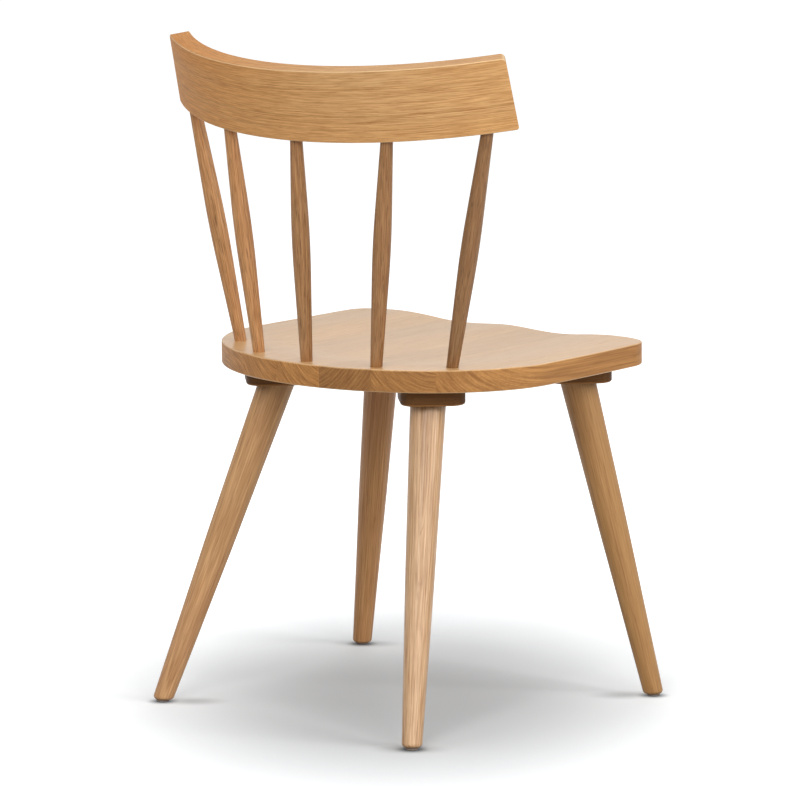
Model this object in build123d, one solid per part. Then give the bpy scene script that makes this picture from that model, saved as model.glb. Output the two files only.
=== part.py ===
from build123d import *
import os
from math import cos, exp, hypot, radians, sin

# Spindle back chair in oak: a saddled seat panel on four raked legs, with a fan of turned
# spindles that carries a bent crest rail. Millimetres, +Z up, the sitter faces -Y and the
# origin lies on the floor in the middle of the four feet.

# Seat panel: edge-glued boards, a round back and a nearly square, slightly bowed front
seat_height = 451.4
seat_tilt = 0.72
seat_width = 487.0
seat_front_width = 477.0
seat_widest_y = -3.0
seat_back_y = 190.0
seat_front_y = -219.4
seat_front_bow = 2.7
seat_corner_radius = 46.0
seat_thickness = 28.0
seat_top_ease = 1.8
seat_bottom_ease = 2.0
seat_board_count = 7

# Saddle: a bowl that runs out over the front edge in two thigh scoops with a ridge between
saddle_depth = 6.2
saddle_side_rim = 40.0
saddle_back_rim = 36.0
saddle_wall = 98.0
scoop_depth = 6.1
scoop_half_width = 174.0
ridge_rise = 3.6
ridge_half_width = 46.0
saddle_grid_step = 24.0

# Legs: two straight tapers that meet in a soft swell, splayed and raked, on tenons through their blocks
foot_depth_spread = 430.0
front_foot_spread = 490.0
back_foot_spread = 413.2
front_leg_head = (159.2, -158.3)
back_leg_head = (122.2, 84.4)
leg_head_dia = 44.5
leg_swell_dia = 36.6
leg_swell_height = 215.0
leg_swell_radius = 4000.0
leg_foot_dia = 24.7
leg_foot_ease = 4.5
leg_tenon_dia = 24.0
leg_tenon_in_seat = 15.0

# Blocks: square plates turned to the corners of the seat, set a little outside the legs' axes
block_width = 80.0
block_thickness = 21.0
block_corner_radius = 20.0
block_bottom_ease = 3.0
block_turn = 45.0
block_outset = 4.5

# Spindles: two straight tapers that meet in a soft swell, parallel at both ends
spindle_ring_radius = 248.0
spindle_ring_y = -77.0
spindle_foot_angles = (-44.4, -22.8, 0.0, 22.8, 44.4)
spindle_head_angles = (-36.3, -18.5, 0.0, 18.5, 36.3)
spindle_foot_dia = 14.8
spindle_head_dia = 15.2
spindle_swell_dia = 23.7
spindle_swell_height = 151.0
spindle_swell_radius = 1400.0
spindle_tenon_in_seat = 19.0
spindle_tenon_in_rail = 22.0

# Crest rail: a plank bent to a round and leaning back
crest_back_radius = 415.0
crest_thickness = 25.4
crest_height = 89.8
crest_half_angle = 41.4
crest_end_slant = 2.9
crest_lean = 13.0
crest_back_y = 201.3
crest_bottom_z = 722.7
crest_top_corner = 6.0
crest_bottom_corner = 3.0
crest_ease = 1.4

# Glides: nylon discs, each on a moulded peg pressed up into the foot of its leg
glide_dia = 16.0
glide_thickness = 3.0
glide_ease = 0.8
glide_peg_dia = 6.0
glide_peg_length = 14.0

# Fits
glue_gap = 0.1
socket_end_gap = 0.5
tenon_chamfer = 1.0

# Places worked out from the sizes above
SEAT = Location((0, 0, seat_height), (-seat_tilt, 0, 0))
CREST = Location((0, crest_back_y, crest_bottom_z), (-crest_lean, 0, 0))
SEAT_UNDERSIDE = Plane(SEAT * Location((0, 0, -seat_thickness)))
BLOCK_UNDERSIDE = Plane(SEAT * Location((0, 0, -seat_thickness - block_thickness)))
FOOT_CUT = Plane.XY.offset(glide_thickness)
CORNERS = {
    "front_left": (1, front_leg_head, front_foot_spread / 2, -foot_depth_spread / 2),
    "front_right": (-1, front_leg_head, front_foot_spread / 2, -foot_depth_spread / 2),
    "back_left": (1, back_leg_head, back_foot_spread / 2, foot_depth_spread / 2),
    "back_right": (-1, back_leg_head, back_foot_spread / 2, foot_depth_spread / 2),
}


def ease_in_out(share):
    """A smooth step from 0 to 1."""
    share = min(max(share, 0.0), 1.0)
    return share * share * (3 - 2 * share)


def saddle_drop(x, y):
    """How far the saddle lies below the deck of the seat at a point of its plan."""
    bowl_half_width = seat_width / 2 - saddle_side_rim
    bowl_reach = seat_back_y - seat_widest_y - saddle_back_rim
    ahead = max(seat_widest_y - y, 0.0) / (seat_widest_y - seat_front_y)
    behind = max(y - seat_widest_y, 0.0) / bowl_reach
    half_width = bowl_half_width - (bowl_half_width - scoop_half_width) * ahead**2
    inside = half_width * (1 - hypot(x / half_width, behind))
    forward = ease_in_out(ahead)
    depth = saddle_depth + (scoop_depth - saddle_depth) * forward
    ridge = ridge_rise * forward * exp(-((x / ridge_half_width) ** 2))
    return (depth - ridge) * ease_in_out(inside / saddle_wall)


def span(low, high, step):
    """Evenly spaced values from low to high, about one step apart."""
    count = round((high - low) / step)
    return [low + (high - low) * i / count for i in range(count + 1)]


def seat_outline():
    """Plan of the seat: half an ellipse behind, with slightly bowed sides and front."""
    half = seat_width / 2
    front_half = seat_front_width / 2
    back = EllipticalCenterArc((0, seat_widest_y), half, seat_back_y - seat_widest_y, 0, arc_size=180)
    left = TangentArc((half, seat_widest_y), (front_half, seat_front_y), tangent=(0, -1))
    right = TangentArc((-half, seat_widest_y), (-front_half, seat_front_y), tangent=(0, -1))
    front_middle = (0, seat_front_y - seat_front_bow)
    front = ThreePointArc((front_half, seat_front_y), front_middle, (-front_half, seat_front_y))
    plan = make_face([back, left, right, front])
    corners = plan.vertices().group_by(Axis.Y)[0]
    return fillet(corners, seat_corner_radius)


def saddle_cutter():
    """Everything above the saddled surface, wider than the seat on all sides."""
    margin = 2 * saddle_grid_step
    xs = span(-seat_width / 2 - margin, seat_width / 2 + margin, saddle_grid_step)
    ys = span(seat_front_y - margin, seat_back_y + margin, saddle_grid_step)
    rows = [[(x, y, -saddle_drop(x, y)) for x in xs] for y in ys]
    surface = Face.make_surface_from_array_of_points(rows)
    return extrude(surface, amount=2 * seat_thickness, dir=(0, 0, 1))


def seat_panel():
    """The glued-up, saddled and eased seat, in the frame of its deck."""
    blank = Pos(0, 0, -seat_thickness) * extrude(seat_outline(), amount=1.5 * seat_thickness)
    panel = blank - saddle_cutter()
    top = panel.faces().sort_by(Axis.Z)[-1]
    panel = fillet(top.edges(), seat_top_ease)
    underside = panel.faces().sort_by(Axis.Z)[0]
    return fillet(underside.edges(), seat_bottom_ease)


def leg_axis(corner):
    """Floor point of a leg's axis and its direction up to the middle of the leg's block."""
    side, head, foot_x, foot_y = CORNERS[corner]
    foot = Vector(side * foot_x, foot_y, 0)
    head_place = SEAT * Location((side * head[0], head[1], -seat_thickness - block_thickness / 2))
    return foot, (head_place.position - foot).normalized()


def along_to(plane, start, direction):
    """Distance from a point along a direction to a plane."""
    return (plane.origin - start).dot(plane.z_dir) / direction.dot(plane.z_dir)


def leg_profile(shoulder, spare):
    """Half the section of a leg along its axis, run on past the foot and the shoulder."""
    low_slope = (leg_swell_dia - leg_foot_dia) / 2 / leg_swell_height
    high_slope = (leg_head_dia - leg_swell_dia) / 2 / (shoulder - leg_swell_height)
    low = (leg_foot_dia / 2 - low_slope * spare, -spare)
    swell = (leg_swell_dia / 2, leg_swell_height)
    high = (leg_head_dia / 2 + high_slope * spare, shoulder + spare)
    side = FilletPolyline(low, swell, high, radius=leg_swell_radius)
    return make_face([side, Polyline(high, (0, high[1]), (0, low[1]), low)])


def leg(corner):
    """A turned leg, cut level at the foot and flush under its block, with its tenon."""
    foot, direction = leg_axis(corner)
    shoulder = along_to(BLOCK_UNDERSIDE, foot, direction)
    tenon_end = along_to(SEAT_UNDERSIDE, foot, direction) + leg_tenon_in_seat
    spare = leg_head_dia
    axis_frame = Plane(origin=foot, z_dir=direction)
    turning = axis_frame * revolve(Plane.XZ * leg_profile(shoulder, spare), Axis.Z)
    turning = split(turning, bisect_by=FOOT_CUT, keep=Keep.TOP)
    turning = split(turning, bisect_by=BLOCK_UNDERSIDE, keep=Keep.BOTTOM)
    turning = fillet(turning.edges().group_by(Axis.Z)[0], leg_foot_ease)
    tenon = extrude(Pos(0, 0, shoulder - spare) * Circle(leg_tenon_dia / 2), tenon_end - shoulder + spare)
    tenon = chamfer(tenon.edges().group_by(Axis.Z)[-1], tenon_chamfer)
    return turning + axis_frame * tenon - glide_socket(corner)


def leg_socket(corner):
    """The bore for a leg's tenon, through its block and into the seat."""
    foot, direction = leg_axis(corner)
    start = along_to(BLOCK_UNDERSIDE, foot, direction) - leg_tenon_dia
    end = along_to(SEAT_UNDERSIDE, foot, direction) + leg_tenon_in_seat + socket_end_gap
    bore = Pos(0, 0, start) * Circle(leg_tenon_dia / 2 + glue_gap)
    return Plane(origin=foot, z_dir=direction) * extrude(bore, end - start)


def leg_block(corner):
    """The plate between the seat and a leg, bored for the leg's tenon."""
    side, head, _, _ = CORNERS[corner]
    plan = RectangleRounded(block_width, block_width, block_corner_radius)
    plate = extrude(Rot(0, 0, block_turn) * plan, block_thickness)
    plate = fillet(plate.edges().group_by(Axis.Z)[0], block_bottom_ease)
    plate = Pos(side * (head[0] + block_outset), head[1], -seat_thickness - block_thickness) * plate
    return SEAT * plate - leg_socket(corner)


def spindle_axis(number):
    """Foot of a spindle on the deck, its direction and its length up to the rail."""
    foot_angle = radians(spindle_foot_angles[number])
    head_angle = radians(spindle_head_angles[number])
    foot = Pos(spindle_ring_radius * sin(foot_angle), spindle_ring_y + spindle_ring_radius * cos(foot_angle))
    middle_radius = crest_back_radius - crest_thickness / 2
    head = Pos(middle_radius * sin(head_angle), middle_radius * cos(head_angle) - crest_back_radius)
    foot_point = (SEAT * foot).position
    run = (CREST * head).position - foot_point
    return foot_point, run.normalized(), run.length


def spindle(number):
    """One turned spindle with its two tenons."""
    foot, direction, length = spindle_axis(number)
    foot_radius = spindle_foot_dia / 2
    head_radius = spindle_head_dia / 2
    low = -spindle_tenon_in_seat
    high = length + spindle_tenon_in_rail
    swell = (spindle_swell_dia / 2, spindle_swell_height)
    side = FilletPolyline((foot_radius, 0), swell, (head_radius, length), radius=spindle_swell_radius)
    below = Polyline(
        (0, low), (foot_radius - tenon_chamfer, low), (foot_radius, low + tenon_chamfer), (foot_radius, 0)
    )
    above = Polyline(
        (head_radius, length), (head_radius, high - tenon_chamfer), (head_radius - tenon_chamfer, high),
        (0, high), (0, low),
    )
    turning = revolve(Plane.XZ * make_face([below, side, above]), Axis.Z)
    return Plane(origin=foot, z_dir=direction) * turning


def spindle_seat_socket(number):
    """The bore in the seat for a spindle's foot."""
    foot, direction, _ = spindle_axis(number)
    depth = spindle_tenon_in_seat + socket_end_gap
    bore = Pos(0, 0, -depth) * Circle(spindle_foot_dia / 2 + glue_gap)
    return Plane(origin=foot, z_dir=direction) * extrude(bore, depth + spindle_foot_dia)


def spindle_rail_socket(number):
    """The bore in the crest rail for a spindle's head."""
    foot, direction, length = spindle_axis(number)
    depth = spindle_tenon_in_rail + socket_end_gap
    bore = Pos(0, 0, length - spindle_head_dia) * Circle(spindle_head_dia / 2 + glue_gap)
    return Plane(origin=foot, z_dir=direction) * extrude(bore, depth + spindle_head_dia)


def crest_end(side):
    """The slanted plane that cuts one end of the rail, facing outward."""
    angle = radians(crest_half_angle)
    slant = radians(crest_end_slant)
    point = (side * crest_back_radius * sin(angle), crest_back_radius * (cos(angle) - 1), crest_height / 2)
    normal = (side * cos(angle) * cos(slant), -sin(angle) * cos(slant), sin(slant))
    return Plane(origin=point, z_dir=normal)


def crest_rail():
    """The bent plank with rounded corners and eased edges, bored for the spindles."""
    ring = Circle(crest_back_radius) - Circle(crest_back_radius - crest_thickness)
    rail = extrude(Pos(0, -crest_back_radius) * ring, crest_height)
    rail = split(rail, bisect_by=Plane.XZ.offset(crest_back_radius), keep=Keep.BOTTOM)
    for side in (-1, 1):
        rail = split(rail, bisect_by=crest_end(side), keep=Keep.BOTTOM)
    corners = rail.edges().filter_by(GeomType.LINE).filter_by(lambda edge: abs(edge.tangent_at(0).Z) < 0.5)
    rail = fillet(corners.group_by(Axis.Z)[-1], crest_top_corner)
    corners = rail.edges().filter_by(GeomType.LINE).filter_by(lambda edge: abs(edge.tangent_at(0).Z) < 0.5)
    rail = fillet(corners.group_by(Axis.Z)[0], crest_bottom_corner)
    broad_faces = rail.faces().filter_by(GeomType.CYLINDER).sort_by(SortBy.AREA)[-2:]
    rail = fillet([edge for face in broad_faces for edge in face.edges()], crest_ease)
    rail = CREST * rail
    for number in range(len(spindle_head_angles)):
        rail -= spindle_rail_socket(number)
    return rail


def under_foot(corner):
    """The floor straight below the centre of a foot's cut face."""
    foot, direction = leg_axis(corner)
    centre = foot + direction * along_to(FOOT_CUT, foot, direction)
    return Pos(centre.X, centre.Y)


def glide_socket(corner):
    """The bore in the foot of a leg for its glide's peg."""
    depth = glide_thickness + glide_peg_length + socket_end_gap
    return under_foot(corner) * extrude(Circle(glide_peg_dia / 2 + glue_gap), depth)


def glide(corner):
    """The nylon disc under a foot and the peg that holds it there."""
    disc = extrude(Circle(glide_dia / 2), glide_thickness)
    disc = chamfer(disc.edges().group_by(Axis.Z)[0], glide_ease)
    peg = extrude(Circle(glide_peg_dia / 2), glide_thickness + glide_peg_length)
    peg = chamfer(peg.edges().group_by(Axis.Z)[-1], tenon_chamfer)
    return under_foot(corner) * (disc + peg)


def seat_boards():
    """The seat panel bored for legs and spindles, then cut along its glue lines."""
    panel = SEAT * seat_panel()
    for corner in CORNERS:
        panel -= leg_socket(corner)
    for number in range(len(spindle_foot_angles)):
        panel -= spindle_seat_socket(number)
    width = seat_width / seat_board_count
    reach = 2 * (seat_height + seat_width)
    boards = {}
    for number in range(seat_board_count):
        middle = (number + 0.5) * width - seat_width / 2
        boards[f"seat_board_{number + 1}"] = panel & Pos(middle, 0, 0) * Box(width, reach, reach)
    return boards


def chair():
    """All nodes of the chair by name."""
    nodes = seat_boards()
    for corner in CORNERS:
        nodes[f"{corner}_leg"] = leg(corner)
        nodes[f"{corner}_block"] = leg_block(corner)
        nodes[f"{corner}_glide"] = glide(corner)
    for number in range(len(spindle_foot_angles)):
        nodes[f"spindle_{number + 1}"] = spindle(number)
    nodes["crest_rail"] = crest_rail()
    return nodes


os.makedirs("parts", exist_ok=True)
for name, node in chair().items():
    export_step(node, f"parts/{name}.step")
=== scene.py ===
import logging
import math
from dataclasses import dataclass, replace
from enum import Enum
from itertools import product
from typing import Any

import bpy
import numpy as np
from mathutils import Matrix, Vector


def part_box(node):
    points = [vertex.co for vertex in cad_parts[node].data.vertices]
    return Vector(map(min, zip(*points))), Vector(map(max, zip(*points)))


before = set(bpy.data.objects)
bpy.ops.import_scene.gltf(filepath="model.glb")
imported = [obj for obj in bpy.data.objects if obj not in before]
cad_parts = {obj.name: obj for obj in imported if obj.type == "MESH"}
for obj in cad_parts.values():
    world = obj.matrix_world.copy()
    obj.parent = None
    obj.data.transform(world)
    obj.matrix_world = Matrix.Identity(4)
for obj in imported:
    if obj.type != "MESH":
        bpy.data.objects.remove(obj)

# Looks of an oak spindle back chair: grain that runs along every piece, end grain on the round
# back of the seat, nylon glides, and a white studio seen from behind the chair. Metres, +Z up,
# with grain patterns in millimetres.

LOG = logging.getLogger("spindle_back_chair")
MM = 1000.0
PLAIN_WHITE = "ffffff"
CORNERS = ("front_left", "front_right", "back_left", "back_right")
TENTH_MM = 0.1 / MM
# A dark streak of oak is redder than the wood around it and a light one paler
STREAK_SHARES = (1.0, 1.35, 1.8)

Tree = bpy.types.NodeTree
Node = bpy.types.Node
Socket = bpy.types.NodeSocket
Pair = tuple[float, float]

# Places of a Mix node's sockets, whose names repeat for numbers and for colours
FACTOR, NUMBER_A, NUMBER_B, COLOUR_A, COLOUR_B = 0, 2, 3, 6, 7
MIXED_NUMBER, MIXED_COLOUR = 0, 2
MIX_COLOURS = {"data_type": "RGBA"}
SMOOTH = {"interpolation_type": "SMOOTHSTEP"}

# How squarely a surface faces out where a board's edge gives way to its broad face
EDGE_SPAN: Pair = (0.35, 0.9)
# How squarely it faces out where the arris between them begins, and where it ends
ARRIS_BEGINS: Pair = (0.15, 0.45)
ARRIS_ENDS: Pair = (0.8, 0.96)
# How end-on the fibres are where end grain begins, for the rings and for the lacquer that it drinks
RING_END_SPAN: Pair = (0.4, 0.9)
THIRST_SPAN: Pair = (0.45, 0.95)
# The part of each noise that makes the slow tones, the fine streaks and the open vessels
TONE_SPAN: Pair = (0.3, 0.7)
FIBRE_SPAN: Pair = (0.25, 0.75)
PORE_SPAN: Pair = (0.54, 0.70)
# The share of a year over which its porous wood gives way to dense wood
SPRING_SPAN: Pair = (0.05, 0.85)


def linear(hex_colour: str) -> tuple[float, float, float, float]:
    """Turn an sRGB hex colour into linear RGBA.

    Args:
        hex_colour: six hex digits, such as "c89a62".

    Returns:
        Linear red, green and blue, with an alpha of 1.
    """
    channels = [int(hex_colour[i:i + 2], 16) / 255 for i in (0, 2, 4)]
    red, green, blue = (c / 12.92 if c <= 0.04045 else ((c + 0.055) / 1.055) ** 2.4 for c in channels)
    return red, green, blue, 1.0


def add_node(tree: Tree, kind: str, settings: dict[str, Any], inputs: dict[Any, Any]) -> Node:
    """Add a node with its settings, and link or set its inputs.

    Args:
        tree: the node tree of a material or world.
        kind: Blender's name for the node, without its "ShaderNode".
        settings: the node's own properties.
        inputs: input name or place to a socket to link, or to a value to set.

    Returns:
        The new node.
    """
    node = tree.nodes.new(f"ShaderNode{kind}")
    for name, value in settings.items():
        setattr(node, name, value)
    for place, value in inputs.items():
        if isinstance(value, Socket):
            tree.links.new(value, node.inputs[place])
        else:
            node.inputs[place].default_value = value
    return node


def new_material(name: str) -> bpy.types.Material:
    """Make an empty node material."""
    material = bpy.data.materials.new(name)
    material.use_nodes = True
    material.node_tree.nodes.clear()
    return material


class GrainRun(Enum):
    """How the grain runs through a piece."""

    STRAIGHT = "straight"
    BENT = "bent"


@dataclass(frozen=True)
class Grain:
    """Where a piece of wood lay in its tree.

    Attributes:
        pith: a point of the tree's centre line, or of the bend's axis for a bent piece.
        along: the way the fibres run, or the way of the bend's axis for a bent piece.
        across: a direction square to it, from which turns are counted.
        run: straight, or bent round an axis.
        bend_radius: radius of the bend, for a bent piece.
        bend_pith: centre of the rings from the bend's outer face, outward and along its axis.
        start: how far along the tree this piece begins, in millimetres, so that no two are alike.
    """

    pith: Vector
    along: Vector
    across: Vector
    run: GrainRun = GrainRun.STRAIGHT
    bend_radius: float = 0.0
    bend_pith: Pair = (0.0, 0.0)
    start: float = 0.0

    def turn(self) -> Matrix:
        """Give the rotation from the chair's axes to across, aside and along."""
        aside = self.along.cross(self.across).normalized()
        return Matrix((aside.cross(self.along), aside, self.along))


@dataclass(frozen=True)
class GrainSpace:
    """The surface of a piece as its tree sees it.

    Attributes:
        place: the point in millimetres, with the fibres along Z and the pith at the origin.
        end_on: how end-on the fibres meet the surface, from 0 to 1.
        edge_on: how far the surface faces a board's edge and not its broad face, from 0 to 1.
        arris: the rounded corner between a board's face and its edge, from 0 to the strength of the
        painted highlight on it.
    """

    place: Socket
    end_on: Socket
    edge_on: Socket
    arris: Socket


@dataclass(frozen=True)
class LacqueredOak:
    """Solid oak under a clear satin lacquer: rings of open pores and a soft sheen.

    The lacquer wets the wood, which deepens its gold and lets a white room shine off it at a slant.

    Attributes:
        late: the dense wood that ends a year's ring.
        early: the porous wood that starts it.
        blush: the warmer tone that drifts through the wood.
        pore: the open vessels, seen as dark dashes along the grain.
        edge_tints_below_sheen: what a board's edges keep of its colour, in the streaks that drank most
        of the lacquer and least, darker than the broad face, whose paler colour is a painted sheen.
        end_shade: how much of its colour the thirsty end grain keeps.
        tone: how light this tree's wood is.
        highlight_colour: a painted highlight, paler than the wood, on an arris where a rounded corner
            catches the light.
        highlight_share: how strongly that painted highlight shows on the arrises.
        ring_mm: width of a year's ring.
        ring_depth: how strongly the porous wood shows along the fibres, and on end grain.
        wander_mm: how far a ring strays from a circle, slowly and quickly.
        ripple_mm: width and length of the waves in which it strays quickly.
        unevenness: how many rings' widths good and bad years shift the rings by.
        spell: how many years a good or bad spell lasts.
        year_edge: the share of a year at which the next year's porous wood begins to show.
        poor_year: how much of the porous wood shows in the poorest year.
        pore_mm: width and length of a vessel's dash, drawn about three times as wide so that it shows.
        pore_depth: how dark the vessels look.
        late_pores: the share of the vessels that the dense wood has.
        pore_roughness: how much rougher the film is over an open vessel.
        fibre_mm: width and length of the fine streaks between the vessels.
        fibre_depth: how far a streak's light differs from the wood around it.
        band_mm: depth, width and length of the streaks that the film leaves along the rings on an edge.
        drift_mm: width and length of the slow changes of tone.
        fade_mm: where along the piece its tone goes from late to blush, for a long piece.
        fade_share: how far that outweighs the slow changes of tone.
        roughness: of the lacquer film, on a broad or turned face and along a board's edges.
        ior: of the lacquer film; a satin film shines less than the 1.5 of a clear one.
        relief: how far the grain can be felt through the film, as a share of a tenth of a millimetre.
    """

    late: str
    early: str
    blush: str
    pore: str = "7a4f2a"
    edge_tints_below_sheen: tuple[str, str] = (PLAIN_WHITE, PLAIN_WHITE)
    end_shade: float = 0.8
    tone: float = 1.0
    highlight_colour: str = "f0cfa0"
    highlight_share: float = 0.0
    ring_mm: float = 3.2
    ring_depth: Pair = (0.8, 1.0)
    wander_mm: Pair = (14.0, 3.0)
    ripple_mm: Pair = (9.0, 140.0)
    unevenness: float = 2.5
    spell: float = 2.5
    year_edge: float = 0.85
    poor_year: float = 0.1
    pore_mm: Pair = (1.0, 22.0)
    pore_depth: float = 0.6
    late_pores: float = 0.3
    pore_roughness: float = 0.16
    fibre_mm: Pair = (1.3, 90.0)
    fibre_depth: float = 0.2
    band_mm: tuple[float, float, float] = (2.4, 26.0, 120.0)
    drift_mm: Pair = (34.0, 330.0)
    fade_mm: Pair | None = None
    fade_share: float = 0.7
    roughness: Pair = (0.45, 0.45)
    ior: float = 1.38
    relief: float = 0.2

    def dress(self, piece: bpy.types.Object, grain: Grain) -> None:
        """Give a piece its own oak, cut from its own place in the tree.

        Args:
            piece: the object to dress.
            grain: where the piece lay in its tree.
        """
        material = new_material(f"lacquered_oak_{piece.name}")
        tree = material.node_tree
        measure = self.bent_space if grain.run is GrainRun.BENT else self.straight_space
        space = measure(tree, grain)
        drift = self.streaks(tree, space.place, self.drift_mm, detail=2.0)
        fibre = self.streaks(tree, space.place, self.fibre_mm, detail=3.0)
        early = self.rings(tree, space, drift)
        pores = self.vessels(tree, space, early)
        colour = self.colour(tree, space, drift, fibre, early, pores)
        height = add_node(tree, "Math", {"operation": "SUBTRACT"}, {0: fibre, 1: pores})
        bump = add_node(tree, "Bump", {}, {
            "Strength": self.relief, "Distance": TENTH_MM, "Height": height.outputs[0],
        })
        face, edge = self.roughness
        film = add_node(tree, "MapRange", {}, {"Value": space.edge_on, "To Min": face, "To Max": edge})
        rough = add_node(tree, "Math", {"operation": "MULTIPLY_ADD"}, {
            0: pores, 1: self.pore_roughness, 2: film.outputs[0],
        })
        shader = add_node(tree, "BsdfPrincipled", {}, {
            "Base Color": colour, "Roughness": rough.outputs[0], "IOR": self.ior, "Normal": bump.outputs[0],
        })
        add_node(tree, "OutputMaterial", {}, {"Surface": shader.outputs[0]})
        piece.material_slots[0].material = material

    def surface(self, tree: Tree, grain: Grain, start: float) -> tuple[Socket, Node, Node]:
        """Turn the surface into the grain's axes, in millimetres.

        Args:
            tree: the material's nodes.
            grain: where the piece lay in its tree.
            start: how far along the third axis the piece begins.

        Returns:
            The point, the point taken apart, and the normal taken apart.
        """
        turn = grain.turn()
        shift = -MM * (turn @ grain.pith)
        shift.z += start
        surface = add_node(tree, "TexCoord", {}, {})
        place = add_node(tree, "Mapping", {"vector_type": "POINT"}, {
            "Vector": surface.outputs["Object"], "Location": shift, "Rotation": turn.to_euler(),
            "Scale": (MM, MM, MM),
        })
        facing = add_node(tree, "Mapping", {"vector_type": "VECTOR"}, {
            "Vector": surface.outputs["Normal"], "Rotation": turn.to_euler(),
        })
        point = add_node(tree, "SeparateXYZ", {}, {0: place.outputs[0]})
        normal = add_node(tree, "SeparateXYZ", {}, {0: facing.outputs[0]})
        return place.outputs[0], point, normal

    def from_pith(self, tree: Tree, place: Socket) -> Socket:
        """Measure how far a point lies from the third axis.

        Args:
            tree: the material's nodes.
            place: the point in millimetres.

        Returns:
            The distance in millimetres.
        """
        flat = add_node(tree, "VectorMath", {"operation": "MULTIPLY"}, {0: place, 1: (1, 1, 0)})
        return add_node(tree, "VectorMath", {"operation": "LENGTH"}, {0: flat.outputs[0]}).outputs["Value"]

    def straight_space(self, tree: Tree, grain: Grain) -> GrainSpace:
        """Measure a straight piece in its tree's space.

        Args:
            tree: the material's nodes.
            grain: where the piece lay in its tree.

        Returns:
            The surface as the tree sees it.
        """
        place, _, normal = self.surface(tree, grain, grain.start)
        end_on = add_node(tree, "Math", {"operation": "ABSOLUTE"}, {0: normal.outputs["Z"]})
        broad = add_node(tree, "Math", {"operation": "ABSOLUTE"}, {0: normal.outputs["Y"]})
        edge_on = add_node(tree, "MapRange", SMOOTH, {
            "Value": broad.outputs[0], "From Min": EDGE_SPAN[0], "From Max": EDGE_SPAN[1],
            "To Min": 1.0, "To Max": 0.0,
        })
        return GrainSpace(place, end_on.outputs[0], edge_on.outputs[0], self.arris(tree, broad.outputs[0]))

    def bent_space(self, tree: Tree, grain: Grain) -> GrainSpace:
        """Measure a bent piece as it was before it was bent.

        Round the bend, the angle becomes the length along the fibres and the radius the depth.

        Args:
            tree: the material's nodes.
            grain: where the piece lay in its tree.

        Returns:
            The surface as the tree sees it.
        """
        place, point, normal = self.surface(tree, grain, 0.0)
        ahead, beside, up = point.outputs["X"], point.outputs["Y"], point.outputs["Z"]
        angle = add_node(tree, "Math", {"operation": "ARCTAN2"}, {0: ahead, 1: beside})
        run = add_node(tree, "Math", {"operation": "MULTIPLY_ADD"}, {
            0: angle.outputs[0], 1: MM * grain.bend_radius, 2: grain.start,
        })
        radius = self.from_pith(tree, place)
        outward, along = grain.bend_pith
        depth = add_node(tree, "Math", {"operation": "SUBTRACT"}, {
            0: radius, 1: MM * (grain.bend_radius + outward),
        })
        height = add_node(tree, "Math", {"operation": "SUBTRACT"}, {0: up, 1: MM * along})
        straightened = add_node(tree, "CombineXYZ", {}, {
            "X": depth.outputs[0], "Y": height.outputs[0], "Z": run.outputs[0],
        })
        gain = add_node(tree, "Math", {"operation": "MULTIPLY"}, {0: normal.outputs["X"], 1: beside})
        loss = add_node(tree, "Math", {"operation": "MULTIPLY"}, {0: normal.outputs["Y"], 1: ahead})
        tangent = add_node(tree, "Math", {"operation": "SUBTRACT"}, {0: gain.outputs[0], 1: loss.outputs[0]})
        share = add_node(tree, "Math", {"operation": "DIVIDE"}, {0: tangent.outputs[0], 1: radius})
        end_on = add_node(tree, "Math", {"operation": "ABSOLUTE"}, {0: share.outputs[0]})
        edge_on = add_node(tree, "Math", {"operation": "ABSOLUTE"}, {0: normal.outputs["Z"]})
        arris = self.arris(tree, edge_on.outputs[0])
        return GrainSpace(straightened.outputs[0], end_on.outputs[0], edge_on.outputs[0], arris)

    def arris(self, tree: Tree, facing: Socket) -> Socket:
        """Find the rounded corner between two faces.

        Args:
            tree: the material's nodes.
            facing: how far the surface faces one of the two, from 0 to 1.

        Returns:
            The corner, from 0 to the strength of the painted highlight on it.
        """
        leaving = add_node(tree, "MapRange", SMOOTH, {
            "Value": facing, "From Min": ARRIS_BEGINS[0], "From Max": ARRIS_BEGINS[1],
        })
        reaching = add_node(tree, "MapRange", SMOOTH, {
            "Value": facing, "From Min": ARRIS_ENDS[0], "From Max": ARRIS_ENDS[1],
            "To Min": self.highlight_share, "To Max": 0.0,
        })
        return add_node(tree, "Math", {"operation": "MULTIPLY"}, {
            0: leaving.outputs[0], 1: reaching.outputs[0],
        }).outputs[0]

    def streaks(self, tree: Tree, place: Socket, size_mm: Pair, detail: float) -> Socket:
        """Make noise that is drawn out along the fibres.

        Args:
            tree: the material's nodes.
            place: the point in millimetres, with the fibres along Z.
            size_mm: width and length of a streak.
            detail: octaves of finer noise.

        Returns:
            The noise, around one half.
        """
        width, length = size_mm
        scaled = add_node(tree, "VectorMath", {"operation": "MULTIPLY"}, {
            0: place, 1: (1 / width, 1 / width, 1 / length),
        })
        noise = add_node(tree, "TexNoise", {}, {"Vector": scaled.outputs[0], "Scale": 1.0, "Detail": detail})
        return noise.outputs["Fac"]

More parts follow.
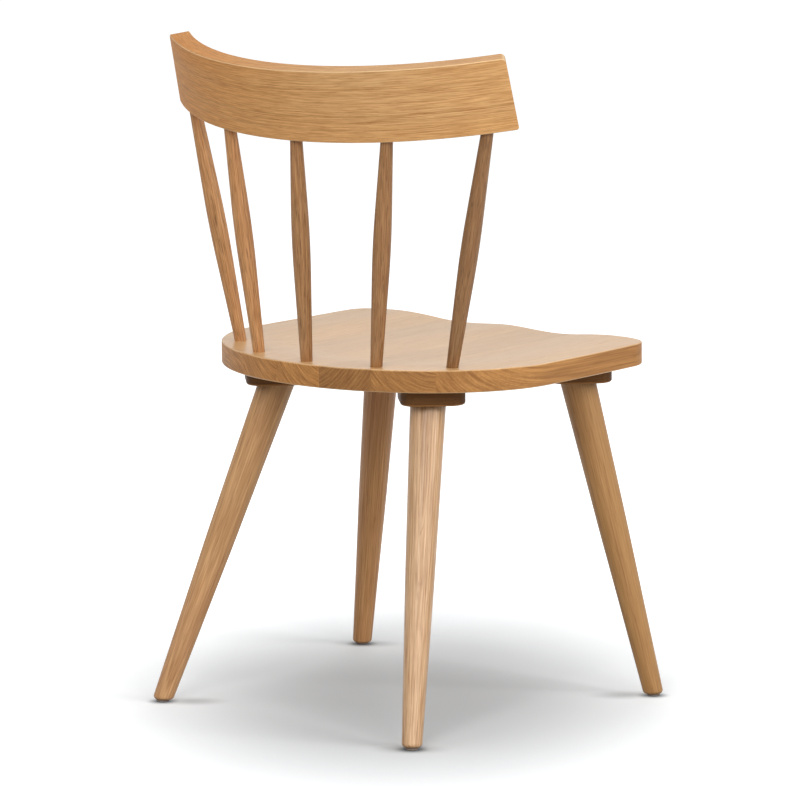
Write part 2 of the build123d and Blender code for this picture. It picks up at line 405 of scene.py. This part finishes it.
    def rings(self, tree: Tree, space: GrainSpace, drift: Socket) -> Socket:
        """Let the distance from the pith, made to wander, fall into a ring for each year.

        Args:
            tree: the material's nodes.
            space: the surface as the tree sees it.
            drift: the slow changes of tone.

        Returns:
            How much of the porous wood shows, from 0 to 1.
        """
        slowly, quickly = self.wander_mm
        ripple = self.streaks(tree, space.place, self.ripple_mm, detail=1.0)
        radius = self.from_pith(tree, space.place)
        slow = add_node(tree, "Math", {"operation": "MULTIPLY_ADD"}, {0: drift, 1: slowly, 2: radius})
        quick = add_node(tree, "Math", {"operation": "MULTIPLY_ADD"}, {
            0: ripple, 1: quickly, 2: slow.outputs[0],
        })
        even = add_node(tree, "Math", {"operation": "DIVIDE"}, {0: quick.outputs[0], 1: self.ring_mm})
        spells = add_node(tree, "TexNoise", {"noise_dimensions": "1D"}, {
            "W": even.outputs[0], "Scale": 1 / self.spell, "Detail": 1.0,
        })
        years = add_node(tree, "Math", {"operation": "MULTIPLY_ADD"}, {
            0: spells.outputs["Fac"], 1: self.unevenness, 2: even.outputs[0],
        })
        season = add_node(tree, "Math", {"operation": "FRACT"}, {0: years.outputs[0]})
        year = add_node(tree, "Math", {"operation": "FLOOR"}, {0: years.outputs[0]})
        weather = add_node(tree, "TexWhiteNoise", {"noise_dimensions": "1D"}, {"W": year.outputs[0]})
        spring = add_node(tree, "MapRange", SMOOTH, {
            "Value": season.outputs[0], "From Min": SPRING_SPAN[0], "From Max": SPRING_SPAN[1],
            "To Min": 1.0, "To Max": 0.0,
        })
        next_spring = add_node(tree, "MapRange", SMOOTH, {
            "Value": season.outputs[0], "From Min": self.year_edge, "From Max": 1.0,
        })
        porous = add_node(tree, "Math", {"operation": "MAXIMUM"}, {
            0: spring.outputs[0], 1: next_spring.outputs[0],
        })
        strength = add_node(tree, "MapRange", {}, {
            "Value": weather.outputs["Value"], "To Min": self.poor_year, "To Max": 1.0,
        })
        return add_node(tree, "Math", {"operation": "MULTIPLY"}, {
            0: porous.outputs[0], 1: strength.outputs[0],
        }).outputs[0]

    def vessels(self, tree: Tree, space: GrainSpace, early: Socket) -> Socket:
        """Open vessels, most of them where the wood is porous.

        Args:
            tree: the material's nodes.
            space: the surface as the tree sees it.
            early: how much of the porous wood shows.

        Returns:
            The open vessels, from 0 to 1.
        """
        noise = self.streaks(tree, space.place, self.pore_mm, detail=1.0)
        opening = add_node(tree, "MapRange", SMOOTH, {
            "Value": noise, "From Min": PORE_SPAN[0], "From Max": PORE_SPAN[1], "To Max": self.pore_depth,
        })
        crowd = add_node(tree, "MapRange", {}, {"Value": early, "To Min": self.late_pores, "To Max": 1.0})
        return add_node(tree, "Math", {"operation": "MULTIPLY"}, {
            0: opening.outputs[0], 1: crowd.outputs[0],
        }).outputs[0]

    def ring_streaks(self, tree: Tree, space: GrainSpace) -> Socket:
        """Make noise that is drawn out round the pith and along the fibres.

        Args:
            tree: the material's nodes.
            space: the surface as the tree sees it.

        Returns:
            The noise, around one half.
        """
        point = add_node(tree, "SeparateXYZ", {}, {0: space.place})
        radius = self.from_pith(tree, space.place)
        angle = add_node(tree, "Math", {"operation": "ARCTAN2"}, {
            0: point.outputs["Y"], 1: point.outputs["X"],
        })
        girth = add_node(tree, "Math", {"operation": "MULTIPLY"}, {0: angle.outputs[0], 1: radius})
        polar = add_node(tree, "CombineXYZ", {}, {
            "X": radius, "Y": girth.outputs[0], "Z": point.outputs["Z"],
        })
        depth, width, length = self.band_mm
        scaled = add_node(tree, "VectorMath", {"operation": "MULTIPLY"}, {
            0: polar.outputs[0], 1: (1 / depth, 1 / width, 1 / length),
        })
        noise = add_node(tree, "TexNoise", {}, {"Vector": scaled.outputs[0], "Scale": 1.0, "Detail": 2.0})
        return noise.outputs["Fac"]

    def colour(
        self, tree: Tree, space: GrainSpace, drift: Socket, fibre: Socket, early: Socket, pores: Socket
    ) -> Socket:
        """Lay the colours on, from the slow tones to the finest marks.

        Args:
            tree: the material's nodes.
            space: the surface as the tree sees it.
            drift: the slow changes of tone.
            fibre: the fine streaks.
            early: how much of the porous wood shows.
            pores: the open vessels.

        Returns:
            The colour of the wood.
        """
        slow = add_node(tree, "MapRange", {}, {
            "Value": drift, "From Min": TONE_SPAN[0], "From Max": TONE_SPAN[1],
        }).outputs[0]
        if self.fade_mm:
            point = add_node(tree, "SeparateXYZ", {}, {0: space.place})
            fade = add_node(tree, "MapRange", SMOOTH, {
                "Value": point.outputs["Z"], "From Min": self.fade_mm[0], "From Max": self.fade_mm[1],
            })
            slow = add_node(tree, "Mix", {}, {
                FACTOR: self.fade_share, NUMBER_A: slow, NUMBER_B: fade.outputs[0],
            }).outputs[MIXED_NUMBER]
        base = add_node(tree, "Mix", MIX_COLOURS, {
            FACTOR: slow, COLOUR_A: linear(self.late), COLOUR_B: linear(self.blush),
        })
        along, across = self.ring_depth
        depth = add_node(tree, "MapRange", SMOOTH, {
            "Value": space.end_on, "From Min": RING_END_SPAN[0], "From Max": RING_END_SPAN[1],
            "To Min": along, "To Max": across,
        })
        ring = add_node(tree, "Math", {"operation": "MULTIPLY"}, {0: early, 1: depth.outputs[0]})
        wood = add_node(tree, "Mix", MIX_COLOURS, {
            FACTOR: ring.outputs[0], COLOUR_A: base.outputs[MIXED_COLOUR], COLOUR_B: linear(self.early),
        }).outputs[MIXED_COLOUR]
        spread = add_node(tree, "MapRange", {}, {
            "Value": fibre, "From Min": FIBRE_SPAN[0], "From Max": FIBRE_SPAN[1],
        })
        shifts = [self.fibre_depth * share for share in STREAK_SHARES]
        streak = add_node(tree, "Mix", MIX_COLOURS, {
            FACTOR: spread.outputs[0],
            COLOUR_A: (*(1.0 - shift for shift in shifts), 1.0),
            COLOUR_B: (*(1.0 + shift for shift in shifts), 1.0),
        })
        wood = add_node(tree, "VectorMath", {"operation": "MULTIPLY"}, {
            0: wood, 1: streak.outputs[MIXED_COLOUR],
        }).outputs[0]
        wood = add_node(tree, "Mix", MIX_COLOURS, {
            FACTOR: pores, COLOUR_A: wood, COLOUR_B: linear(self.pore),
        }).outputs[MIXED_COLOUR]
        # Painted sheen: the edges are tinted darker than the broad face, whose paler colour stands in for
        # its sheen
        most, least = self.edge_tints_below_sheen
        if most != least:
            band = add_node(tree, "MapRange", {}, {
                "Value": self.ring_streaks(tree, space), "From Min": TONE_SPAN[0], "From Max": TONE_SPAN[1],
            })
            film = add_node(tree, "Mix", MIX_COLOURS, {
                FACTOR: band.outputs[0], COLOUR_A: linear(most), COLOUR_B: linear(least),
            })
            wood = add_node(tree, "Mix", {**MIX_COLOURS, "blend_type": "MULTIPLY"}, {
                FACTOR: space.edge_on, COLOUR_A: wood, COLOUR_B: film.outputs[MIXED_COLOUR],
            }).outputs[MIXED_COLOUR]
        # Painted highlight: the arrises are drawn paler where a rounded corner would catch the light
        if self.highlight_share > 0.0:
            wood = add_node(tree, "Mix", MIX_COLOURS, {
                FACTOR: space.arris, COLOUR_A: wood, COLOUR_B: linear(self.highlight_colour),
            }).outputs[MIXED_COLOUR]
        thirst = add_node(tree, "MapRange", SMOOTH, {
            "Value": space.end_on, "From Min": THIRST_SPAN[0], "From Max": THIRST_SPAN[1],
            "To Min": self.tone, "To Max": self.tone * self.end_shade,
        })
        return add_node(tree, "VectorMath", {"operation": "SCALE"}, {
            0: wood, "Scale": thirst.outputs[0],
        }).outputs[0]


@dataclass(frozen=True)
class MouldedNylon:
    """Warm grey nylon from a mould: dull, with a faint mottle and scuffs from floors.

    Attributes:
        fresh: the moulded colour.
        scuffed: where floors have rubbed it.
        mottle_mm: size of the mottle.
        roughness: of the nylon, where it is fresh and where it is scuffed.
        ior: of nylon.
    """

    fresh: str = "8f8178"
    scuffed: str = "6e625b"
    mottle_mm: float = 2.5
    roughness: Pair = (0.42, 0.62)
    ior: float = 1.53

    def dress(self, piece: bpy.types.Object) -> None:
        """Give a glide its nylon."""
        material = new_material(f"moulded_nylon_{piece.name}")
        tree = material.node_tree
        surface = add_node(tree, "TexCoord", {}, {})
        noise = add_node(tree, "TexNoise", {}, {
            "Vector": surface.outputs["Object"], "Scale": MM / self.mottle_mm, "Detail": 3.0,
        })
        colour = add_node(tree, "Mix", MIX_COLOURS, {
            FACTOR: noise.outputs["Fac"], COLOUR_A: linear(self.fresh), COLOUR_B: linear(self.scuffed),
        })
        smooth, rubbed = self.roughness
        rough = add_node(tree, "MapRange", {}, {
            "Value": noise.outputs["Fac"], "To Min": smooth, "To Max": rubbed,
        })
        shader = add_node(tree, "BsdfPrincipled", {}, {
            "Base Color": colour.outputs[MIXED_COLOUR], "Roughness": rough.outputs[0], "IOR": self.ior,
        })
        add_node(tree, "OutputMaterial", {}, {"Surface": shader.outputs[0]})
        piece.material_slots[0].material = material


def vertices(name: str) -> np.ndarray:
    """Read the corners of a CAD node's mesh.

    Args:
        name: the node.

    Returns:
        One row of x, y and z for each corner.
    """
    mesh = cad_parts[name].data
    points = np.empty(3 * len(mesh.vertices), np.float32)
    mesh.vertices.foreach_get("co", points)
    return points.reshape(-1, 3)


def long_axis(name: str) -> tuple[Vector, Vector]:
    """Find the line that a long piece lies along.

    Args:
        name: the node.

    Returns:
        The middle of the piece, and the way it runs, upward.
    """
    points = vertices(name).astype(float)
    middle = (points.min(0) + points.max(0)) / 2
    _, _, ways = np.linalg.svd(points - points.mean(0), full_matrices=False)
    way = Vector(ways[0])
    return Vector(middle), way if way.z > 0 else -way


def turned_grain(name: str, reach: float, turn: float, start: float) -> Grain:
    """Lay the grain along a turned piece.

    Args:
        name: the node.
        reach: how far outside the piece its tree had its centre.
        turn: the way to that centre, in degrees round the piece.
        start: how far along its tree the piece begins, in millimetres.

    Returns:
        Where the piece lay in its tree.
    """
    middle, along = long_axis(name)
    angle = math.radians(turn)
    way = Vector((math.cos(angle), math.sin(angle), 0.0))
    return Grain(pith=middle + reach * way, along=along, across=Vector((1, 0, 0)), start=start)


@dataclass(frozen=True)
class BoardCut:
    """How one board of the seat was cut.

    Attributes:
        pith: where its tree had its centre, across and up from the board's middle.
        end_shade: how much of its colour its end grain keeps.
        tone: how light its wood is.
    """

    pith: Pair
    end_shade: float
    tone: float


@dataclass
class Seat:
    """The seat panel: boards side by side, their fibres front to back.

    Attributes:
        oak: the finish; the boards are drawn paler than their wood as a painted sheen on the top, and
        their arrises carry a painted highlight.
        cuts: how each board was cut, from the right side of the chair to the left.
        start_step: how far apart the boards lay along their trees, in millimetres.
    """

    # Painted sheen: the boards are paler than the wood to stand in for the top's sheen, the edge tints take
    # the edges back down, and the arrises carry a painted highlight
    oak: LacqueredOak = LacqueredOak(
        late="dfb481", early="9f7648", blush="dbae79", pore="a87f50", edge_tints_below_sheen=("ac916b", "dec7a2"),
        ring_mm=4.2, ring_depth=(0.11, 0.66), wander_mm=(8.0, 2.5), pore_depth=0.4,
        fibre_mm=(2.0, 120.0), fibre_depth=0.11, year_edge=0.5, poor_year=0.35, roughness=(0.30, 0.52),
        highlight_colour="ecc592", highlight_share=0.3, relief=0.05,
    )
    cuts: tuple[BoardCut, ...] = (
        BoardCut((-0.070, 0.060), 0.98, 0.99), BoardCut((-0.042, 0.052), 0.91, 1.02),
        BoardCut((0.070, 0.068), 0.84, 0.95), BoardCut((-0.070, 0.075), 1.14, 1.02),
        BoardCut((-0.070, 0.080), 1.24, 0.97), BoardCut((0.030, -0.150), 1.18, 1.02),
        BoardCut((0.080, -0.110), 1.14, 0.97),
    )
    start_step: float = 1710.0

    def dress(self) -> None:
        """Give every board its own cut of oak."""
        for number, cut in enumerate(self.cuts, start=1):
            name = f"seat_board_{number}"
            low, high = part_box(name)
            middle = (low + high) / 2
            across, up = cut.pith
            pith = Vector((middle.x + across, middle.y, middle.z + up))
            grain = Grain(
                pith=pith, along=Vector((0, 1, 0)), across=Vector((1, 0, 0)), start=self.start_step * number,
            )
            replace(self.oak, end_shade=cut.end_shade, tone=cut.tone).dress(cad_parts[name], grain)
            LOG.info("dressed %s", name)


@dataclass(frozen=True)
class LegCut:
    """How one leg was cut.

    Attributes:
        corner: the corner of the chair that it stands under.
        pith_turn: the way to its tree's centre, in degrees round the leg.
        oak: its finish.
    """

    corner: str
    pith_turn: float
    oak: LacqueredOak


# The legs' oak is straight in the grain and golden
LEG_OAK = LacqueredOak(
    late="c79665", early="9a6c45", blush="c18c60", pore="7d5230", ring_mm=3.4, ring_depth=(0.65, 1.0),
    wander_mm=(5.0, 1.2), unevenness=3.0, pore_mm=(1.0, 26.0), pore_depth=0.5,
    fibre_mm=(1.8, 90.0), fibre_depth=0.22,
)


@dataclass
class Undercarriage:
    """The legs, the blocks that spread their load and the glides under their feet.

    Attributes:
        legs: how each leg was cut; the back right one has the glossiest film, the boldest streaks and a
            paler
        colour that is partly a painted highlight.
        block_oak: the finish of the blocks, drawn dark brown as painted shade from the seat above them,
        with a painted highlight of the floor's light along their arrises.
        nylon: the finish of the glides.
        leg_pith: how far outside a leg its tree had its centre.
        leg_start_step: how far apart the legs lay along their trees, in millimetres.
        block_pith: where a block's tree had its centre, from the block's middle.
        block_start_step: how far apart the blocks lay along their trees, in millimetres.
    """

    legs: tuple[LegCut, ...] = (
        LegCut("front_left", 40.0, replace(LEG_OAK, late="c6935f", blush="c0895a", tone=0.88)),
        LegCut("front_right", 200.0, replace(
            LEG_OAK, late="c8985f", blush="c39058", tone=0.78, ring_depth=(0.45, 1.0), fibre_depth=0.15,
        )),
        LegCut("back_left", 310.0, replace(LEG_OAK, late="c99d6b", blush="c49468", tone=1.05)),
        # Partly painted highlight: the back right leg is drawn paler, widening the sheen of its glossier
        # film
        LegCut("back_right", 130.0, replace(
            LEG_OAK, late="cfa67c", early="986f47", blush="c89f76", tone=0.97, fibre_depth=0.36,
            roughness=(0.30, 0.30), ior=1.45,
        )),
    )
    # Painted shade: the blocks are drawn dark brown for the seat's shadow on them, and their arrises paler
    # as painted floor light
    block_oak: LacqueredOak = LacqueredOak(
        late="6a4724", early="5b3c1d", blush="664320", pore="3a2410", highlight_colour="a8743f", highlight_share=0.7,
        roughness=(0.55, 0.55), ior=1.25,
    )
    nylon: MouldedNylon = MouldedNylon()
    leg_pith: float = 0.085
    leg_start_step: float = 2330.0
    block_pith: tuple[float, float, float] = (0.02, 0.03, -0.11)
    block_start_step: float = 3170.0

    def dress(self) -> None:
        """Give legs, blocks and glides their finishes."""
        for number, cut in enumerate(self.legs, start=1):
            cut.oak.dress(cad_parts[f"{cut.corner}_leg"], turned_grain(
                f"{cut.corner}_leg", self.leg_pith, cut.pith_turn, self.leg_start_step * number,
            ))
            low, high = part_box(f"{cut.corner}_block")
            grain = Grain(
                pith=(low + high) / 2 + Vector(self.block_pith), along=Vector((1, 1, 0)).normalized(),
                across=Vector((1, -1, 0)), start=self.block_start_step * number,
            )
            self.block_oak.dress(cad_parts[f"{cut.corner}_block"], grain)
            self.nylon.dress(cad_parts[f"{cut.corner}_glide"])
            LOG.info("dressed the %s leg, its block and its glide", cut.corner)


@dataclass
class Back:
    """The fan of spindles and the crest rail that they carry.

    Attributes:
        spindle_oak: the finish of the turned spindles.
        spindle_tones: how light each spindle is drawn, from the right side of the chair to the left.
        spindle_pith: how far outside a spindle its tree had its centre.
        spindle_turn: how far each spindle is turned from the one before it, in degrees.
        spindle_start_step: how far apart the spindles lay along their trees, in millimetres.
        crest_oak: the finish of the bent rail, with a painted highlight along its arrises.
        crest_radius: radius of the rail's back face.
        crest_foot: the rail's lower back edge in the middle, from front to back and up.
        crest_lean: how far the rail leans back, in degrees.
        crest_pith: centre of the rail's rings from its back face, outward and up its height.
        crest_start: how far along its tree the rail's middle lay, in millimetres.
    """

    spindle_oak: LacqueredOak = LacqueredOak(
        late="bd8a57", early="a17549", blush="ba8454", pore="54331a", ring_mm=3.4, wander_mm=(5.0, 1.5),
        pore_mm=(1.2, 18.0), pore_depth=0.85, fibre_mm=(1.3, 40.0), fibre_depth=0.34,
    )
    spindle_tones: tuple[float, ...] = (0.52, 0.65, 0.73, 1.0, 1.02)
    spindle_pith: float = 0.070
    spindle_turn: float = 97.0
    spindle_start_step: float = 1930.0
    # Painted highlight: the rail's arrises are drawn paler, where its rounded top edge would catch the light
    crest_oak: LacqueredOak = LacqueredOak(
        late="d1a26c", early="b6864f", blush="cb8538", pore="94582a", ring_mm=3.0, wander_mm=(10.0, 4.0),
        pore_mm=(0.85, 17.0), pore_depth=0.7, fibre_mm=(0.95, 34.0), fibre_depth=0.28,
        fade_mm=(5060.0, 5480.0), roughness=(0.58, 0.58), highlight_share=0.75,
    )
    crest_radius: float = 0.415
    crest_foot: Pair = (0.2013, 0.7227)
    crest_lean: float = 13.0
    crest_pith: Pair = (-0.11, -0.26)
    crest_start: float = 5210.0

    def dress(self) -> None:
        """Give the spindles and the rail their finishes."""
        for number, tone in enumerate(self.spindle_tones, start=1):
            name = f"spindle_{number}"
            grain = turned_grain(
                name, self.spindle_pith, self.spindle_turn * number, self.spindle_start_step * number,
            )
            replace(self.spindle_oak, tone=tone).dress(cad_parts[name], grain)
            LOG.info("dressed %s", name)
        lean = math.radians(self.crest_lean)
        up = Vector((0.0, math.sin(lean), math.cos(lean)))
        outward = Vector((0.0, math.cos(lean), -math.sin(lean)))
        foot = Vector((0.0, *self.crest_foot))
        grain = Grain(
            pith=foot - self.crest_radius * outward, along=up, across=Vector((1, 0, 0)), run=GrainRun.BENT,
            bend_radius=self.crest_radius, bend_pith=self.crest_pith, start=self.crest_start,
        )
        self.crest_oak.dress(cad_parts["crest_rail"], grain)
        LOG.info("dressed crest_rail")


@dataclass(frozen=True)
class Softbox:
    """A large soft lamp, square, that hangs in the studio.

    Attributes:
        name: what it is called.
        place: where it hangs.
        watts: power.
        size: length of its sides.
        aim: what it points at.
    """

    name: str
    place: tuple[float, float, float]
    watts: float
    size: float = 2.4
    aim: tuple[float, float, float] = (0.0, 0.0, 0.5)

    def hang(self) -> None:
        """Put the lamp up."""
        lamp = bpy.data.lights.new(self.name, "AREA")
        lamp.shape = "SQUARE"
        lamp.size = self.size
        lamp.energy = self.watts
        holder = bpy.data.objects.new(self.name, lamp)
        holder.location = self.place
        holder.rotation_euler = (Vector(self.aim) - Vector(self.place)).to_track_quat("-Z", "Y").to_euler()
        bpy.context.scene.collection.objects.link(holder)


@dataclass(frozen=True)
class FootShade:
    """A soft shade on the floor at each foot.

    Attributes:
        size: its reach, across the picture and into it.
        depth: how much of the floor's light it takes in its middle.
        inward: how far across the picture it lies from the foot towards the middle of the chair's shade,
            as a share of that way.
    """

    size: Pair
    depth: float
    inward: float


@dataclass
class Studio:
    """A white paper floor in a white room, soft lamps and the camera behind the chair.

    Attributes:
        floor_size: length of the floor's sides.
        floor_paper: the paper's colour where the chair shades it.
        floor_bounce: the paper as the chair sees it, greyer, so that shaded sides stay dark.
        shade_place: middle of the chair's shade, from left to right and front to back.
        shade_size: reach of the chair's shade, across the picture and into it.
        shade_fade: where the shade starts to fade into white, and where it is gone, as shares of its reach.
        foot_shades: the shades of each foot, from the leg above it and where it touches the floor.
        room_light: strength of the room's light on the chair.
        lamps: the soft lamps.
        camera_place: where the camera stands.
        camera_turn: the way it looks, in degrees from +Y towards -X.
        camera_tilt: how far it looks down, in degrees.
        lens_mm: its lens.
        film_mm: width of its film.
        sight: how far it sees.
    """

    floor_size: float = 60.0
    floor_paper: str = "d1d4d6"
    floor_bounce: str = "b8b8b8"
    shade_place: Pair = (-0.021, 0.012)
    shade_size: Pair = (0.703, 1.0)
    shade_fade: Pair = (0.08, 0.93)
    foot_shades: tuple[FootShade, ...] = (
        FootShade((0.055, 0.030), 0.32, 0.12), FootShade((0.025, 0.022), 0.85, 0.0),
    )
    room_light: float = 0.06
    lamps: tuple[Softbox, ...] = (
        Softbox("top_softbox", (0.0, 0.0, 5.5), 34.0, size=3.0),
        Softbox("front_softbox", (1.9, -3.3, 3.6), 28.0),
        Softbox("camera_softbox", (-1.82, 3.83, 3.15), 99.6),
        Softbox("right_softbox", (-4.21, 1.93, 2.37), 74.7),
        Softbox("far_right_softbox", (-4.37, -1.2, 2.61), 108.9),
        Softbox("left_softbox", (1.14, 4.38, 2.61), 37.4),
        Softbox("far_left_softbox", (3.0, 2.55, 3.58), 19.5),
    )
    camera_place: tuple[float, float, float] = (-3.8986, 4.5704, 1.3348)
    camera_turn: float = 220.43
    camera_tilt: float = 9.03
    lens_mm: float = 218.1
    film_mm: float = 36.0
    sight: float = 100.0

    def build(self) -> None:
        """Lay the floor, light the room and set up the camera."""
        self.lay_floor()
        self.light_room()
        for lamp in self.lamps:
            lamp.hang()
            LOG.info("hung %s", lamp.name)
        self.set_camera()

    def seen(self, tree: Tree) -> Socket:
        """Tell what the camera sees, straight, in a mirror or through glass, from what lights the chair.

        Args:
            tree: the nodes of the floor or the room.

        Returns:
            1 where it is seen, 0 where it only gives light.
        """
        path = add_node(tree, "LightPath", {}, {})
        direct = add_node(tree, "Math", {"operation": "MAXIMUM"}, {
            0: path.outputs["Is Camera Ray"], 1: path.outputs["Is Glossy Ray"],
        })
        through = add_node(tree, "Math", {"operation": "MAXIMUM"}, {
            0: direct.outputs[0], 1: path.outputs["Is Transmission Ray"],
        })
        return through.outputs[0]

    def away(self, tree: Tree, place: Pair, size: Pair) -> Socket:
        """Measure how far out in an oval on the floor a point lies.

        Args:
            tree: the floor's nodes.
            place: middle of the oval, from left to right and front to back.
            size: reach of the oval, across the picture and into it.

        Returns:
            0 in the middle and 1 at the oval's edge.
        """
        surface = add_node(tree, "TexCoord", {}, {})
        oval = add_node(tree, "Mapping", {"vector_type": "TEXTURE"}, {
            "Vector": surface.outputs["Object"], "Location": (*place, 0),
            "Rotation": (0, 0, math.radians(self.camera_turn)), "Scale": (*size, 1),
        })
        return add_node(tree, "VectorMath", {"operation": "LENGTH"}, {0: oval.outputs[0]}).outputs["Value"]

    def lay_floor(self) -> None:
        """Lay a sheet of white paper that keeps the chair's shade."""
        half = self.floor_size / 2
        corners = [(-half, -half, 0), (half, -half, 0), (half, half, 0), (-half, half, 0)]
        mesh = bpy.data.meshes.new("studio_floor")
        mesh.from_pydata(corners, [], [(0, 1, 2, 3)])
        floor = bpy.data.objects.new("studio_floor", mesh)
        bpy.context.scene.collection.objects.link(floor)
        # Matt paper has no shine, so that only shade shows on it
        material = new_material("white_paper")
        tree = material.node_tree
        seen = self.seen(tree)
        colour = add_node(tree, "Mix", MIX_COLOURS, {
            FACTOR: seen, COLOUR_A: linear(self.floor_bounce), COLOUR_B: linear(self.floor_paper),
        })
        paper = add_node(tree, "BsdfDiffuse", {}, {"Color": colour.outputs[MIXED_COLOUR]})
        near, far = self.shade_fade
        glow = add_node(tree, "MapRange", SMOOTH, {
            "Value": self.away(tree, self.shade_place, self.shade_size), "From Min": near, "From Max": far,
        })
        strength = add_node(tree, "Math", {"operation": "MULTIPLY"}, {0: seen, 1: glow.outputs[0]})
        light = add_node(tree, "Emission", {}, {"Strength": strength.outputs[0]})
        surface = add_node(tree, "AddShader", {}, {0: paper.outputs[0], 1: light.outputs[0]}).outputs[0]
        shaded = add_node(tree, "BsdfDiffuse", {}, {"Color": linear("000000")}).outputs[0]
        middle = Vector((*self.shade_place, 0.0))
        turn = math.radians(self.camera_turn)
        across = Vector((math.cos(turn), math.sin(turn), 0.0))
        for corner, shade in product(CORNERS, self.foot_shades):
            low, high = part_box(f"{corner}_glide")
            foot = (low + high) / 2
            place = foot + shade.inward * (middle - foot).dot(across) * across
            depth = add_node(tree, "MapRange", SMOOTH, {
                "Value": self.away(tree, (place.x, place.y), shade.size),
                "To Min": shade.depth, "To Max": 0.0,
            })
            surface = add_node(tree, "MixShader", {}, {
                0: depth.outputs[0], 1: surface, 2: shaded,
            }).outputs[0]
        add_node(tree, "OutputMaterial", {}, {"Surface": surface})
        mesh.materials.append(material)
        LOG.info("laid the floor")

    def light_room(self) -> None:
        """Fill the room with white light, plain white where it is seen or mirrored."""
        world = bpy.data.worlds.new("white_room")
        world.use_nodes = True
        tree = world.node_tree
        tree.nodes.clear()
        strength = add_node(tree, "MapRange", {}, {
            "Value": self.seen(tree), "To Min": self.room_light, "To Max": 1.0,
        })
        room = add_node(tree, "Background", {}, {
            "Color": linear(PLAIN_WHITE), "Strength": strength.outputs[0],
        })
        add_node(tree, "OutputWorld", {}, {"Surface": room.outputs[0]})
        bpy.context.scene.world = world
        LOG.info("lit the room")

    def set_camera(self) -> None:
        """Set the camera up behind the chair, as in the photograph."""
        camera = bpy.data.cameras.new("camera")
        camera.lens = self.lens_mm
        camera.sensor_width = self.film_mm
        camera.clip_end = self.sight
        holder = bpy.data.objects.new("camera", camera)
        holder.location = self.camera_place
        holder.rotation_euler = (math.radians(90.0 - self.camera_tilt), 0.0, math.radians(self.camera_turn))
        bpy.context.scene.collection.objects.link(holder)
        bpy.context.scene.camera = holder
        LOG.info("set up the camera")


def main() -> None:
    """Dress the chair and build the studio round it."""
    logging.basicConfig(level=logging.INFO, format="%(name)s: %(message)s")
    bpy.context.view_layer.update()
    Seat().dress()
    Undercarriage().dress()
    Back().dress()
    Studio().build()
    bpy.context.scene.view_settings.view_transform = "Standard"


if __name__ == "__main__":
    main()
